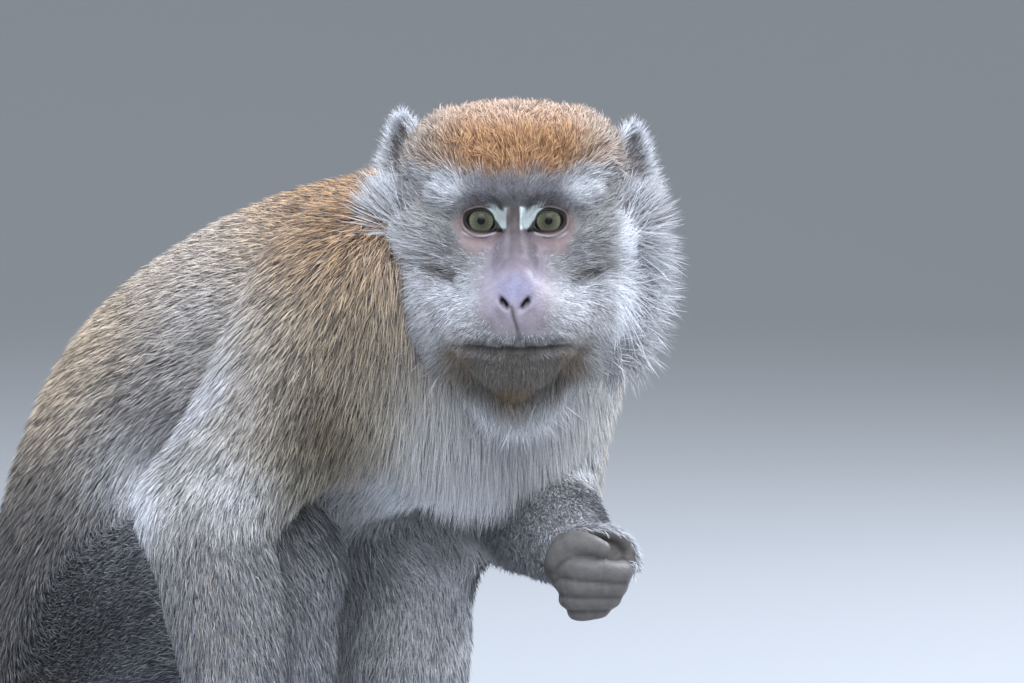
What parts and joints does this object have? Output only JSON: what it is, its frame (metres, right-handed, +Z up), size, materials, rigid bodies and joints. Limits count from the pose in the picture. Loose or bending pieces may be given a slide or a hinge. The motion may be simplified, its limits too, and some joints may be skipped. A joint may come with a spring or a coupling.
{
  "type": "long-tailed macaque",
  "caption": "Sitting adult male long-tailed macaque, head turned to its right, right hand on the ground and left hand raised as a closed fist.",
  "frame": {"origin": "centre of the bounding box over the ground, at ground level", "axes": "+Z up, -Y the way the body faces, -X the animal's right side; the head is turned 45 degrees to its right"},
  "size_m": [0.3296, 0.503, 0.3925],
  "materials": {
    "coat_crown": "rough golden rust fur",
    "coat_back": "rough brown speckled fur",
    "coat_limb": "rough grey olive fur",
    "coat_pale": "rough pale grey fur",
    "bare_skin": "matt dark skin",
    "seat_skin": "matt hard skin",
    "eye": "wet glossy eyeball"
  },
  "bodies": {
    "root": {"trunk": "coat_back", "hips": "coat_back", "neck": "coat_back", "head": "coat_crown", "eye_right": "eye", "ear_right": "coat_pale", "upper_arm_right": "coat_limb", "forearm_right": "coat_limb", "hand_right": "bare_skin", "thigh_right": "coat_limb", "shin_right": "coat_limb", "foot_right": "bare_skin", "seat_pad_right": "seat_skin", "eye_left": "eye", "ear_left": "coat_pale", "upper_arm_left": "coat_limb", "forearm_left": "coat_limb", "hand_left": "bare_skin", "thigh_left": "coat_limb", "shin_left": "coat_limb", "foot_left": "bare_skin", "seat_pad_left": "seat_skin", "tail_1": "coat_back", "tail_2": "coat_back", "tail_3": "coat_back", "tail_4": "coat_back", "tail_5": "coat_back"}
  },
  "joints": []
}
